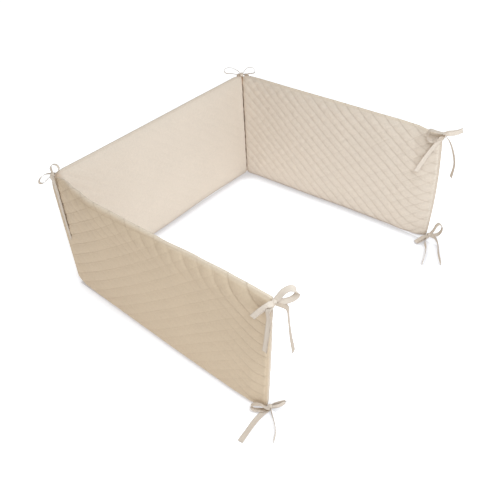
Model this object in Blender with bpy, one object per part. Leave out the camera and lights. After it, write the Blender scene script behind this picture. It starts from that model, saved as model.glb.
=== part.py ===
"""Crib bumper: three quilted, padded sections that stand in a U, and six ribbon ties tied in bows.

Metres, +Z up. The middle section runs along X and the side sections run towards -Y, so the U opens
towards -Y. The origin is on the floor, under the middle of the middle section's foot.
"""
import math

import bmesh
import bpy
from mathutils import Vector

# ---- Driving dimensions -------------------------------------------------------------------------
HEIGHT = 0.300            # floor to top edge
CORNER_HALF_SPAN = 0.305  # from the middle of the middle section to each corner fold
CORNER_LINE = 0.006       # the corner folds stand this far behind the middle of the foot
PUFF_THICKNESS = 0.0170   # pad thickness through two opposite puffs
CHANNEL_DEPTH = 0.0020    # how far a sewn line lies below the puffs, on each face
EDGE_THICKNESS = 0.008    # closed edge along the top, the foot and the free ends
FOLD_THICKNESS = 0.004    # cloth pressed together at a stitched corner fold
FOLD_DIP = 0.008          # how far the top edge sinks at a corner fold
FOLD_DIP_REACH = 0.030    # length of section over which that dip fades out
END_TOP_DROP = 0.003      # how far the top edge sinks at a free end
END_FOOT_RISE = 0.004     # how far the foot lifts at either end of a section
SEWING_GAP = 0.0003       # between pieces that touch

QUILT_ROWS = 18           # half diamonds between floor and top edge

TAPE_WIDTH = 0.011
TAPE_THICKNESS = 0.0012
KNOT_RADIUS = 0.0055
KNOT_CLEARANCE = 0.0008   # between a knot and the sloping cloth that it sits on
FOOT_KNOT_HEIGHT = 0.0065
FRONT_KNOT_HEIGHT = 0.297  # the top tie of the front end hangs against the end
RIGHT_KNOT_HEIGHT = 0.3018  # the top tie of the right end sits on the end's upper corner
RIGHT_KNOT_REACH = 0.0042  # and this far beyond the end
TAPE_FACING = math.radians(221.8)  # heading, in plan, that the bows face

PLUSH = (0.66, 0.55, 0.43, 1.0)
TAPE = (0.78, 0.68, 0.58, 1.0)

# ---- Sections -----------------------------------------------------------------------------------
# The cloth's middle surface stands a little outside (+) or inside (-) the straight line between the
# ends of its section. share: how far along; foot, top: how far out at the floor and the top edge.
MIDDLE_SWAY = (
    # share, foot, top
    (0.00, -0.0070, 0.0025),
    (0.05, -0.0060, 0.0035),
    (0.40, -0.0070, 0.0035),
    (0.75, -0.0025, 0.0035),
    (0.95, -0.0050, 0.0040),
    (1.00, -0.0070, 0.0010),
)
RIGHT_SWAY = (
    # share, foot, top
    (0.00, -0.0020, 0.0020),
    (0.08, 0.0005, 0.0040),
    (0.39, 0.0005, 0.0030),
    (0.60, 0.0025, 0.0030),
    (0.80, 0.0010, 0.0025),
    (0.88, -0.0010, 0.0000),
    (0.94, 0.0010, -0.0070),
    (1.00, 0.0070, -0.0090),
)
LEFT_SWAY = (
    # share, foot, top
    (0.00, -0.0020, -0.0010),
    (0.05, 0.0005, -0.0010),
    (0.13, 0.0017, 0.0070),
    (0.24, 0.0021, 0.0130),
    (0.40, 0.0030, 0.0090),
    (0.56, 0.0036, 0.0055),
    (0.72, 0.0030, -0.0020),
    (0.84, 0.0025, -0.0060),
    (0.94, 0.0005, -0.0075),
    (1.00, -0.0080, -0.0080),
)
LEFT_CORNER = Vector((-CORNER_HALF_SPAN, CORNER_LINE, 0.0))
BACK_CORNER = Vector((CORNER_HALF_SPAN, CORNER_LINE, 0.0))
RIGHT_END = Vector((0.345, -0.561, 0.0))
FRONT_END = Vector((-0.320, -0.592, 0.0))

SECTIONS = (
    # node, start, end, half-diamond columns, sway, outward side, end kind, foot set back, end bulge
    ("section_middle", LEFT_CORNER, BACK_CORNER, 32, MIDDLE_SWAY, 1, "fold", 0.0, 0.0),
    ("section_right", BACK_CORNER, RIGHT_END, 30, RIGHT_SWAY, 1, "free", 0.002, 0.006),
    ("section_left", LEFT_CORNER, FRONT_END, 32, LEFT_SWAY, -1, "free", 0.014, 0.002),
)

# ---- Ribbons ------------------------------------------------------------------------------------
# Every ribbon leaves its knot along a short route. The routes are in millimetres from the knot's
# centre, in the direction that the bows face: right, up, and out towards the viewer.
# breadth: the way the ribbon's width points: out, up, flat (across the route, facing out) or laid
# (across the route, facing up).
RIBBONS = (
    # tie, breadth, route
    ("tie_left_corner", "out", ((1, 0, 0), (-1, 17, 0), (6, 25, 0), (14, 22, 0), (16, 12, 0), (9, 5, 0),
        (2, -2, 0))),
    ("tie_left_corner", "out", ((0, 1, 0), (-13, 3, 0), (-26, -5, 0), (-36, -18, 0), (-36, -28, 0),
        (-26, -25, 0), (-14, -12, 0), (-1, -2, 0))),
    ("tie_left_corner", "flat", ((0, 0, 2), (1, 1, 12), (4, -6, 22), (6, -30, 27), (8, -105, 28),
        (8, -185, 28))),
    ("tie_left_corner", "flat", ((0, 0, -2), (0, 2, -16), (-4, -18, -26), (-5, -75, -27),
        (-7, -125, -27))),
    ("tie_back_corner", "out", ((-1, 1, 0), (-12, 13, 2), (-26, 21, 3), (-40, 21, 3), (-46, 14, 3),
        (-39, 6, 2), (-24, 4, 1), (-1, -2, 0))),
    ("tie_back_corner", "out", ((1, 1, 0), (9, 12, 0), (18, 19, 0), (29, 18, 0), (35, 10, 0),
        (33, 3, 0), (22, 2, 0), (1, -1, 0))),
    ("tie_back_corner", "flat", ((0, 0, -2), (-8, -2, -16), (-11, -16, -25), (-12, -60, -27),
        (-13, -112, -27))),
    ("tie_back_corner", "flat", ((2, 0, -1), (16, -2, -13), (20, -16, -20), (22, -60, -22),
        (25, -115, -22))),
    ("tie_right_top", "flat", ((0, 1, 2), (9, 4, 7), (24, 6, 7), (39, 8, 1), (29, 1, -5), (13, 0, -5),
        (0, 1, -2))),
    ("tie_right_top", "out", ((0, 3, 4), (-9, 8, 9), (-19, 10, 6), (-32, 10, -2), (-36, -2, -7),
        (-34, -14, -7), (-25, -18, -2), (-14, -8, 8), (0, -2, 6))),
    ("tie_right_top", "flat", ((0, -2, 2), (-12, -10, 9), (-21, -34, 0), (-32, -65, -9), (-46, -107, -18))),
    ("tie_right_top", "out", ((1, -1, 0), (14, -18, 1), (25, -42, 2), (33, -69, 2), (35, -88, 2),
        (33, -116, 0))),
    ("tie_right_foot", "out", ((1, 1, 0), (9, 12, 0), (15, 28, 0), (22, 33, 0), (30, 25, 0),
        (30, 10, 0), (21, -1, 0), (2, -1, 0))),
    ("tie_right_foot", "laid", ((0, 1, 2), (-15, 3, 11), (-29, 2, 20), (-39, -1, 26), (-26, -4, 18),
        (-14, -4, 9), (0, -2, 2))),
    ("tie_right_foot", "up", ((0, 0, 1), (-16, 0, 27), (-19, 0, 51), (-29, 0, 80), (-42, 0, 110))),
    ("tie_right_foot", "up", ((1, 0, 1), (12, 0, 12), (14, 0, 34), (6, 0, 75), (2, 0, 113))),
    ("tie_front_top", "out", ((0, 1, 1), (7, 12, 1), (16, 26, 1), (26, 31, 1), (35, 25, 1), (37, 15, 1),
        (30, 4, 1), (15, -2, 1), (2, -1, 1))),
    ("tie_front_top", "flat", ((0, 0, 4), (-13, 3, 12), (-25, -13, 7), (-37, -37, -2), (-25, -22, 1),
        (-13, -3, 8), (0, 0, 0))),
    ("tie_front_top", "flat", ((0, -1, 3), (-12, -8, 13), (-11, -29, 13), (-13, -57, 11),
        (-20, -112, 9))),
    ("tie_front_top", "out", ((1, -2, 2), (12, -3, 5), (20, -12, 5), (21, -35, 5), (25, -73, 5),
        (33, -118, 5))),
    ("tie_front_foot", "up", ((1, 1, -1), (13, 4, -4), (22, 5, -6), (30, 4, -7), (21, 0, -3), (13, 0, 0),
        (1, 0, 1))),
    ("tie_front_foot", "out", ((0, 1, 4), (-8, 7, 8), (-17, 14, 6), (-29, 11, 1), (-37, 5, 1), (-31, 0, 5),
        (-18, -1, 6), (0, -2, 4))),
    ("tie_front_foot", "laid", ((0, -1, 3), (-12, -4, 9), (-29, -5, 27), (-44, -5, 49), (-59, -5, 72))),
    ("tie_front_foot", "up", ((1, 0, 1), (2, 0, 12), (6, 0, 34), (8, 0, 57), (3, 0, 79))),
)
MILLIMETRE = 0.001


def ease(share):
    """Smooth step from 0 to 1."""
    return share * share * (3.0 - 2.0 * share)


def read_sway(rows, share):
    """Foot and top sway at a share of the length, eased from row to row."""
    for (start, foot_a, top_a), (end, foot_b, top_b) in zip(rows, rows[1:]):
        if share <= end:
            blend = ease((share - start) / (end - start))
            return foot_a + (foot_b - foot_a) * blend, top_a + (top_b - top_a) * blend
    return rows[-1][1:]


def sway_at(rows, share, height_share):
    foot, top = read_sway(rows, share)
    return foot + (top - foot) * height_share


def plan_left(vector):
    """The plan direction a quarter turn left of the given one."""
    return Vector((-vector.y, vector.x, 0.0)).normalized()


class Section:
    """One padded section: where its cloth's middle surface runs and how thick it is."""

    def __init__(self, row):
        (self.name, self.start, self.end, self.columns, self.sway, side,
         self.end_kind, self.set_back, self.bulge) = row
        self.along = (self.end - self.start).normalized()
        self.outward = plan_left(self.along) * side

    def end_point(self, share, height_share):
        """Middle surface at either end, before the corner seams are matched."""
        corner = self.start if share == 0.0 else self.end
        shift = self.bulge * math.sin(math.pi * height_share) - self.set_back * (1.0 - height_share)
        return (corner + self.along * shift * share
                + self.outward * sway_at(self.sway, share, height_share))


SECTION_LIST = [Section(row) for row in SECTIONS]
MIDDLE, RIGHT, LEFT = SECTION_LIST


def seam_point(corner, height_share):
    """Where the middle and a side section meet at a stitched corner fold."""
    side, share = (LEFT, 0.0) if corner == LEFT_CORNER else (RIGHT, 1.0)
    middle_sway = sway_at(MIDDLE.sway, share, height_share)
    side_sway = sway_at(side.sway, 0.0, height_share)
    return corner + MIDDLE.outward * middle_sway + side.outward * side_sway


def section_end(section, share, height_share):
    corner = section.start if share == 0.0 else section.end
    if corner in (LEFT_CORNER, BACK_CORNER):
        return seam_point(corner, height_share)
    return section.end_point(share, height_share)


def middle_surface(section, share, height_share):
    """Plan position of the cloth's middle surface."""
    start = section_end(section, 0.0, height_share)
    end = section_end(section, 1.0, height_share)
    sway = sway_at(section.sway, share, height_share)
    sway_start = sway_at(section.sway, 0.0, height_share)
    sway_end = sway_at(section.sway, 1.0, height_share)
    straight = sway_start + (sway_end - sway_start) * share
    return start.lerp(end, share) + section.outward * (sway - straight)


def top_and_foot(section, share):
    """Height of the top edge and of the foot at a share of the length."""
    length = (section.end - section.start).length
    folds = [share * length] + ([(1.0 - share) * length] if section.end_kind == "fold" else [])
    top = HEIGHT - sum(FOLD_DIP * max(0.0, 1.0 - distance / FOLD_DIP_REACH) ** 2 for distance in folds)
    if share == 1.0 and section.end_kind == "free":
        top -= END_TOP_DROP
    return top, END_FOOT_RISE if share in (0.0, 1.0) else 0.0


def fold_mitre(section, share):
    """At a corner fold: the way the pressed cloth points, and the way away from the neighbour."""
    corner = section.start if share == 0.0 else section.end
    other = LEFT if corner == LEFT_CORNER else RIGHT
    diagonal = (MIDDLE.outward + other.outward).normalized()
    inward = section.along if share == 0.0 else -section.along
    away = (inward - diagonal * inward.dot(diagonal)).normalized()
    return diagonal, away


def section_ring(section, column):
    """Outer-face points from foot to top, then inner-face points from top to foot."""
    share = column / section.columns
    top, foot = top_and_foot(section, share)
    kind = {0: "fold", section.columns: section.end_kind}.get(column, "quilted")
    outer, inner = [], []
    for row in range(QUILT_ROWS + 1):
        height_share = row / QUILT_ROWS
        centre = middle_surface(section, share, height_share)
        across = section.outward
        if kind == "fold":
            across, away = fold_mitre(section, share)
            centre = centre + away * SEWING_GAP / 2.0
            half = FOLD_THICKNESS / 2.0
        elif kind == "free" or row in (0, QUILT_ROWS):
            half = EDGE_THICKNESS / 2.0
        else:
            on_sewn_line = (row + column) % 2 == 0
            half = PUFF_THICKNESS / 2.0 - (CHANNEL_DEPTH if on_sewn_line else 0.0)
        centre.z = foot + (top - foot) * height_share
        outer.append(centre + across * half)
        inner.append(centre - across * half)
    return outer + inner[::-1]


def build_section(section, material):
    """A closed pad whose grid follows the quilting: every other grid corner is on a sewn line."""
    shape = bmesh.new()
    rings = [[shape.verts.new(point) for point in section_ring(section, column)]
             for column in range(section.columns + 1)]
    ring_size = len(rings[0])
    for column, (here, there) in enumerate(zip(rings, rings[1:])):
        for place in range(ring_size):
            following = (place + 1) % ring_size
            row = place if place <= QUILT_ROWS else ring_size - 1 - place
            corners = (here[place], here[following], there[following], there[place])
            if (row + column) % 2 == 0:
                shape.faces.new(corners[:3])
                shape.faces.new((corners[0], corners[2], corners[3]))
            else:
                shape.faces.new((corners[0], corners[1], corners[3]))
                shape.faces.new(corners[1:])
    for ring in (rings[0], rings[-1]):
        for row in range(QUILT_ROWS):
            opposite = ring_size - 1 - row
            shape.faces.new((ring[row], ring[row + 1], ring[opposite - 1]))
            shape.faces.new((ring[row], ring[opposite - 1], ring[opposite]))
    bmesh.ops.recalc_face_normals(shape, faces=shape.faces)
    return add_object(section.name, shape, material)


def add_object(name, shape, material):
    mesh = bpy.data.meshes.new(name)
    shape.to_mesh(mesh)
    shape.free()
    mesh.materials.append(material)
    obj = bpy.data.objects.new(name, mesh)
    bpy.context.scene.collection.objects.link(obj)
    return obj


def make_material(name, colour):
    material = bpy.data.materials.new(name)
    material.use_nodes = True
    shader = material.node_tree.nodes["Principled BSDF"]
    shader.inputs["Base Color"].default_value = colour
    shader.inputs["Roughness"].default_value = 0.9
    shader.inputs["Metallic"].default_value = 0.0
    material.diffuse_color = colour
    return material


# ---- Ties ---------------------------------------------------------------------------------------
FACING = Vector((math.cos(TAPE_FACING), math.sin(TAPE_FACING), 0.0))
RIGHTWARD = plan_left(FACING)
UPWARD = Vector((0.0, 0.0, 1.0))
KNOT_SEAT = KNOT_RADIUS + KNOT_CLEARANCE
KNOT_STRETCH = 1.15      # the knot is a little longer along its bow
KNOT_SEGMENTS = 6
KNOT_RINGS = 4


def corner_knot(corner):
    """A knot that sits on the dipped top of a corner fold."""
    seat = seam_point(corner, 1.0)
    seat.z = HEIGHT - FOLD_DIP + KNOT_SEAT
    return seat


def end_knot(section, height, reach=KNOT_SEAT):
    """A knot against the free end of a side section."""
    seat = section_end(section, 1.0, height / HEIGHT) + section.along * reach
    seat.z = height
    return seat


TIES = (
    ("tie_left_corner", corner_knot(LEFT_CORNER)),
    ("tie_back_corner", corner_knot(BACK_CORNER)),
    ("tie_right_top", end_knot(RIGHT, RIGHT_KNOT_HEIGHT, RIGHT_KNOT_REACH)),
    ("tie_right_foot", end_knot(RIGHT, FOOT_KNOT_HEIGHT)),
    ("tie_front_top", end_knot(LEFT, FRONT_KNOT_HEIGHT)),
    ("tie_front_foot", end_knot(LEFT, FOOT_KNOT_HEIGHT)),
)


def from_knot(knot, offset):
    right, up, out = (value * MILLIMETRE for value in offset)
    return knot + RIGHTWARD * right + UPWARD * up + FACING * out


def breadth_direction(breadth, route):
    """The way a ribbon's width points, before it is squared to its route."""
    farthest = max(route, key=lambda point: (point - route[0]).length)
    heading = (farthest - route[0]).normalized()
    return {"out": FACING, "up": UPWARD,
            "flat": FACING.cross(heading), "laid": UPWARD.cross(heading)}[breadth].normalized()


def sweep_ribbon(route, width_direction):
    """A closed strip of TAPE_WIDTH by TAPE_THICKNESS along a route."""
    shape = bmesh.new()
    rings = []
    for index, point in enumerate(route):
        before = route[max(index - 1, 0)]
        after = route[min(index + 1, len(route) - 1)]
        tangent = (after - before).normalized()
        broad = (width_direction - tangent * width_direction.dot(tangent)).normalized()
        thick = tangent.cross(broad) * (TAPE_THICKNESS / 2.0)
        broad = broad * (TAPE_WIDTH / 2.0)
        corners = (point + broad + thick, point - broad + thick, point - broad - thick, point + broad - thick)
        rings.append([shape.verts.new(corner) for corner in corners])
    for here, there in zip(rings, rings[1:]):
        for side in range(4):
            following = (side + 1) % 4
            shape.faces.new((here[side], here[following], there[following], there[side]))
    shape.faces.new(rings[0])
    shape.faces.new(rings[-1][::-1])
    bmesh.ops.recalc_face_normals(shape, faces=shape.faces)
    return shape


def fuse(base, parts):
    """Union the parts into the base object and remove them."""
    for part in parts:
        union = base.modifiers.new("Union", "BOOLEAN")
        union.operation = "UNION"
        union.object = part
    depsgraph = bpy.context.evaluated_depsgraph_get()
    fused = bpy.data.meshes.new_from_object(base.evaluated_get(depsgraph))
    base.modifiers.clear()
    base.data = fused
    for part in parts:
        bpy.data.objects.remove(part)
    return base


def build_tie(name, knot, material):
    """A knot with two loops and two tails, one ribbon sewn on at its middle and tied in a bow."""
    shape = bmesh.new()
    bmesh.ops.create_uvsphere(shape, u_segments=KNOT_SEGMENTS, v_segments=KNOT_RINGS, radius=KNOT_RADIUS)
    for vertex in shape.verts:
        local = vertex.co.copy()
        vertex.co = knot + RIGHTWARD * local.x * KNOT_STRETCH + FACING * local.y + UPWARD * local.z
    bmesh.ops.recalc_face_normals(shape, faces=shape.faces)
    tie = add_object(name, shape, material)
    parts = []
    for owner, breadth, offsets in RIBBONS:
        if owner == name:
            route = [from_knot(knot, offset) for offset in offsets]
            strip = sweep_ribbon(route, breadth_direction(breadth, route))
            parts.append(add_object(name + "_ribbon", strip, material))
    return fuse(tie, parts)


def main():
    for old in list(bpy.data.objects):
        bpy.data.objects.remove(old)
    plush = make_material("plush", PLUSH)
    tape = make_material("tape", TAPE)
    for section in SECTION_LIST:
        build_section(section, plush)
    for name, knot in TIES:
        build_tie(name, knot, tape)


main()
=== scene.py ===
"""Looks of the crib bumper: three quilted plush pads, six ribbon ties and a plain pale stage.

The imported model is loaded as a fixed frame, in metres, +Z up. Each pad and each tie is built where its
node stands, and replaces it. The U opens towards -Y, and the camera looks in from the front left.
"""

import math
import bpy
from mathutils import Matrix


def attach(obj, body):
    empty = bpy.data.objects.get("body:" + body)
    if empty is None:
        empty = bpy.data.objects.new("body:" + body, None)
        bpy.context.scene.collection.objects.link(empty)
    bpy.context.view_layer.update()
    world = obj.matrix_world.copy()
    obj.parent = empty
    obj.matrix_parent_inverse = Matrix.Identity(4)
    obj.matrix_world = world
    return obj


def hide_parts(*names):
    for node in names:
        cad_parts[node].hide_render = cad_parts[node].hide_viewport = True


bl_info = {
    "name": "Crib Bumper",
    "version": (1, 0, 0),
    "blender": (4, 5, 0),
    "location": "3D View > Sidebar > Crib Bumper",
    "description": "Builds a quilted crib bumper with ribbon ties around its packed frame",
    "category": "Object",
}

import bpy
import numpy as np
from bpy.props import FloatProperty, FloatVectorProperty, PointerProperty, StringProperty
from mathutils import Matrix, Vector

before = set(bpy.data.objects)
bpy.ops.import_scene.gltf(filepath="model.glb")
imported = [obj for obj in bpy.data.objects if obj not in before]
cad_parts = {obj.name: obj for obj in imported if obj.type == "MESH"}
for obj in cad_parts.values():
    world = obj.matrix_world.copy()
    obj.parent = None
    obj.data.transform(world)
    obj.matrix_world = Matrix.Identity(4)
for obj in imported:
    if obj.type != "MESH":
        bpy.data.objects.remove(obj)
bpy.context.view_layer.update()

MM = 0.001


def ease(share):
    """Smooth step from 0 to 1."""
    share = np.clip(share, 0.0, 1.0)
    return share * share * (3.0 - 2.0 * share)


def band(value, limits):
    """0 before a band's start and 1 past its reach, with a smooth step between. limits: start, reach."""
    start, reach = limits
    return ease((value - start) / reach)


# ---- Plan of the pads ----
HEIGHT = 0.300              # floor to top edge
FOLD_DIP = 0.008            # how far the top edge sinks at a corner fold
FOLD_DIP_REACH = 0.030
END_TOP_DROP = 0.0015       # how far the top edge sinks at a free end
END_FOOT_RISE = 0.004       # how far the foot lifts at either end of a pad
END_REACH = 0.018
SEWING_GAP = 0.0003

LEFT_CORNER = np.array((-0.305, 0.006))
BACK_CORNER = np.array((0.305, 0.006))
RIGHT_END = np.array((0.345, -0.561))
FRONT_END = np.array((-0.320, -0.592))

# The cloth's middle surface stands a little outside (+) or inside (-) the straight line between the
# ends of its pad. share: how far along; foot, top: how far out at the floor and the top edge.
MIDDLE_SWAY = (
    # share, foot, top
    (0.00, -0.0070, 0.0025),
    (0.05, -0.0060, 0.0035),
    (0.40, -0.0070, 0.0035),
    (0.75, -0.0025, 0.0035),
    (0.95, -0.0050, 0.0040),
    (1.00, -0.0070, 0.0010),
)
RIGHT_SWAY = (
    # share, foot, top
    (0.00, -0.0020, 0.0020),
    (0.08, 0.0005, 0.0040),
    (0.39, 0.0005, 0.0030),
    (0.60, 0.0025, 0.0030),
    (0.80, 0.0010, 0.0025),
    (0.88, -0.0010, 0.0000),
    (0.94, 0.0010, -0.0070),
    (1.00, 0.0070, -0.0090),
)
LEFT_SWAY = (
    # share, foot, top
    (0.00, -0.0020, -0.0010),
    (0.05, 0.0005, -0.0010),
    (0.13, 0.0017, 0.0070),
    (0.24, 0.0021, 0.0130),
    (0.40, 0.0030, 0.0090),
    (0.56, 0.0036, 0.0055),
    (0.72, 0.0030, -0.0020),
    (0.84, 0.0025, -0.0060),
    (0.94, 0.0005, -0.0075),
    (1.00, -0.0080, -0.0080),
)


def eased_column(rows, share, column):
    """One column of a table, read at each share and eased from row to row."""
    shares = np.array([row[0] for row in rows])
    values = np.array([row[column] for row in rows])
    place = np.clip(np.searchsorted(shares, share, side="right") - 1, 0, len(rows) - 2)
    blend = ease((share - shares[place]) / (shares[place + 1] - shares[place]))
    return values[place] + (values[place + 1] - values[place]) * blend


class Pad:
    """Plan of one quilted section, from its corner fold to its other end."""

    def __init__(self, name, node, start, end, sway, side, end_kind, strip_sense, seed, strip_start=0.0,
                 set_back=0.0, bulge=0.0, rim_shift=0.0, shear=0.0):
        self.name, self.node, self.start, self.end, self.sway = name, node, start, end, sway
        self.end_kind = end_kind        # "fold" or "free"
        self.seed = seed
        self.strip_start, self.strip_sense = strip_start, strip_sense  # place on the unfolded strip
        self.set_back = set_back        # how far a free end's foot stands back
        self.bulge = bulge              # how far a free end bulges at half its height
        self.rim_shift = rim_shift      # how far the top rim leans in
        self.shear = shear              # how askew the quilting hangs near the corner
        reach = end - start
        self.length = float(np.linalg.norm(reach))
        self.along = reach / self.length
        self.outward = np.array((-self.along[1], self.along[0])) * side
        self.along_in_space = np.array((self.along[0], self.along[1], 0.0))

    def sway_at(self, share, height_share):
        foot = eased_column(self.sway, share, 1)
        top = eased_column(self.sway, share, 2)
        return foot + (top - foot) * height_share


SPAN = float(np.linalg.norm(BACK_CORNER - LEFT_CORNER))
MIDDLE = Pad("quilted_middle", "section_middle", LEFT_CORNER, BACK_CORNER, MIDDLE_SWAY, side=1,
             end_kind="fold", strip_sense=1, seed=11)
RIGHT = Pad("quilted_right", "section_right", BACK_CORNER, RIGHT_END, RIGHT_SWAY, side=1,
            end_kind="free", strip_sense=1, seed=23, strip_start=SPAN, set_back=0.002, bulge=0.006,
            rim_shift=-0.0015, shear=0.24)
LEFT = Pad("quilted_left", "section_left", LEFT_CORNER, FRONT_END, LEFT_SWAY, side=-1,
           end_kind="free", strip_sense=-1, seed=37, set_back=0.014, bulge=0.002,
           rim_shift=0.0036, shear=-0.24)
PADS = {pad.name: pad for pad in (MIDDLE, RIGHT, LEFT)}


def scaled(direction, amounts):
    """A plan direction times each amount."""
    return np.asarray(amounts)[..., None] * direction


def end_plan(pad, share, height_share):
    """Plan position of the middle surface at either end of a pad."""
    corner = pad.start if share == 0.0 else pad.end
    if share == 0.0 or pad.end_kind == "fold":
        other, middle_share = (LEFT, 0.0) if corner is LEFT_CORNER else (RIGHT, 1.0)
        return (corner + scaled(MIDDLE.outward, MIDDLE.sway_at(middle_share, height_share))
                + scaled(other.outward, other.sway_at(0.0, height_share)))
    shift = pad.bulge * np.sin(np.pi * height_share) - pad.set_back * (1.0 - height_share)
    return corner + scaled(pad.along, shift) + scaled(pad.outward, pad.sway_at(1.0, height_share))


def middle_plan(pad, share, height_share):
    """Plan position of the cloth's middle surface."""
    start = end_plan(pad, 0.0, height_share)
    end = end_plan(pad, 1.0, height_share)
    sway_start, sway_end = (pad.sway_at(end_share, height_share) for end_share in (0.0, 1.0))
    bow = pad.sway_at(share, height_share) - (sway_start + (sway_end - sway_start) * share)
    return start + (end - start) * share[..., None] + scaled(pad.outward, bow)


def closeness(distance, reach):
    """1 at a place, falling to 0 at its reach, steeply at first."""
    return np.clip(1.0 - distance / reach, 0.0, 1.0) ** 2


def top_and_foot(pad, along):
    """Height of the top edge and of the foot at a distance along the pad."""
    from_end = pad.length - along
    near_end = closeness(from_end, END_REACH)
    drop = FOLD_DIP * closeness(along, FOLD_DIP_REACH)
    if pad.end_kind == "fold":
        drop = drop + FOLD_DIP * closeness(from_end, FOLD_DIP_REACH)
    else:
        drop = drop + END_TOP_DROP * near_end
    return HEIGHT - drop, END_FOOT_RISE * (closeness(along, END_REACH) + near_end)


# ---- Shape of the padding ----
GRID_STEP = 2.02 * MM
HALF_PAD = 7.4 * MM         # half of the pad's thickness, down in the sewn lines
TOP_ROLL = 3.2 * MM         # radius of the turned top edge
TOP_TAPER = 40.0 * MM       # height over which the pad thins to it
FOOT_ROLL = 3.6 * MM
FOOT_TAPER = 22.0 * MM
TAPER_POINTS, TAPER_FULLNESS = 30, 2.3
ROLL_POINTS, ROLL_SQUARENESS = 14, 2.2
END_ROUND = 5.0 * MM
END_HALF = 2.0 * MM         # half thickness where the free end's seam closes
END_POINTS, END_SQUARENESS = 9, 2.3
FOLD_ZONE = 30.0 * MM       # length in which the pad narrows to its corner fold
FOLD_COLUMNS = 22
FOLD_DEEP = 3.0 * MM        # the stitched seam lies this far inside the cloth's middle surface
FOLD_SLOT = 0.4 * MM        # half width of the crevice between two pads that press together
FOLD_SHOULDER = 3.2 * MM    # radius of the pads' shoulders at that crevice
SHOULDER_POINTS = 12
FOLD_OUTSIDE = 5.6 * MM     # the outside of the stitched seam lies this far out
FOLD_TAPER = 9.0 * MM
FOLD_TAPER_POINTS, FOLD_TAPER_SQUARENESS = 30, 2.2


def superellipse(count, squareness):
    """A rounded quarter from (1, 0) to (0, 1)."""
    turn = np.linspace(0.0, np.pi / 2.0, count)
    return np.cos(turn) ** (2.0 / squareness), np.sin(turn) ** (2.0 / squareness)


def resample(points, count):
    """The same line with its points an equal distance apart, and that distance run from its start."""
    run = np.concatenate(([0.0], np.cumsum(np.linalg.norm(np.diff(points, axis=0), axis=1))))
    at = np.linspace(0.0, run[-1], count)
    return np.stack([np.interp(at, run, points[:, axis]) for axis in range(points.shape[1])], axis=1), at


def thinning_edge(roll, taper):
    """From the full face to the seam: a long taper, then a small roll. Rows of (side, depth)."""
    depth = np.linspace(taper, roll, TAPER_POINTS)
    lean = 1.0 - (1.0 - (depth - roll) / (taper - roll)) ** TAPER_FULLNESS
    face = np.stack([roll + (HALF_PAD - roll) * lean, depth], axis=1)
    round_side, round_up = superellipse(ROLL_POINTS, ROLL_SQUARENESS)
    edge = np.stack([roll * round_side, roll * (1.0 - round_up)], axis=1)
    return np.concatenate([face, edge[1:]])


def half_outline():
    """Cross-section of one side, from the foot's seam to the top one: (side 0 to 1, height), and run."""
    foot = thinning_edge(FOOT_ROLL, FOOT_TAPER)[::-1]
    top = thinning_edge(TOP_ROLL, TOP_TAPER) * (1.0, -1.0) + (0.0, HEIGHT)
    line = np.concatenate([foot, top])
    count = int(np.linalg.norm(np.diff(line, axis=0), axis=1).sum() / GRID_STEP) + 1
    points, run = resample(line, count)
    points[:, 0] /= HALF_PAD
    return points, run


def fold_lines(count):
    """Plan of both faces where a pad runs into its corner fold: rows of (along, inward)."""
    slot = FOLD_SLOT / math.sqrt(0.5)
    lead = FOLD_SHOULDER * math.tan(math.radians(22.5))
    turn = np.linspace(math.radians(45.0), 0.0, SHOULDER_POINTS)
    centre = np.array((HALF_PAD + slot + lead, HALF_PAD - FOLD_SHOULDER))
    shoulder = centre + FOLD_SHOULDER * np.stack([-np.sin(turn), np.cos(turn)], axis=1)
    deep = np.array((FOLD_DEEP + slot * 0.35, FOLD_DEEP))
    inner = np.concatenate([[deep], shoulder, [[FOLD_ZONE, HALF_PAD]]])
    rise, advance = superellipse(FOLD_TAPER_POINTS, FOLD_TAPER_SQUARENESS)
    taper = np.stack([SEWING_GAP - FOLD_OUTSIDE + (FOLD_TAPER + FOLD_OUTSIDE) * (1.0 - rise),
                      -(FOLD_OUTSIDE + (HALF_PAD - FOLD_OUTSIDE) * advance)], axis=1)
    outer = np.concatenate([taper, [[FOLD_ZONE, -HALF_PAD]]])
    return resample(inner, count)[0], resample(outer, count)[0]


def face_lines(pad):
    """Plan of the inner and outer face along the whole pad: rows of (along, inward)."""
    inner, outer = fold_lines(FOLD_COLUMNS)
    if pad.end_kind == "fold":
        last = pad.length - FOLD_ZONE
        closing = [line[::-1] * (-1.0, 1.0) + (pad.length, 0.0) for line in (inner, outer)]
    else:
        last = pad.length - END_ROUND
        side, reach = superellipse(END_POINTS, END_SQUARENESS)
        half = END_HALF + (HALF_PAD - END_HALF) * side
        closing = [np.stack([last + END_ROUND * reach, sign * half], axis=1) for sign in (1.0, -1.0)]
    count = int((last - FOLD_ZONE) / GRID_STEP)
    middle = np.linspace(FOLD_ZONE, last, count + 1)[1:-1]
    lines = []
    for sign, opening, close in ((1.0, inner, closing[0]), (-1.0, outer, closing[1])):
        straight = np.stack([middle, np.full_like(middle, sign * HALF_PAD)], axis=1)
        lines.append(np.concatenate([opening, straight, close]))
    return lines


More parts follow.
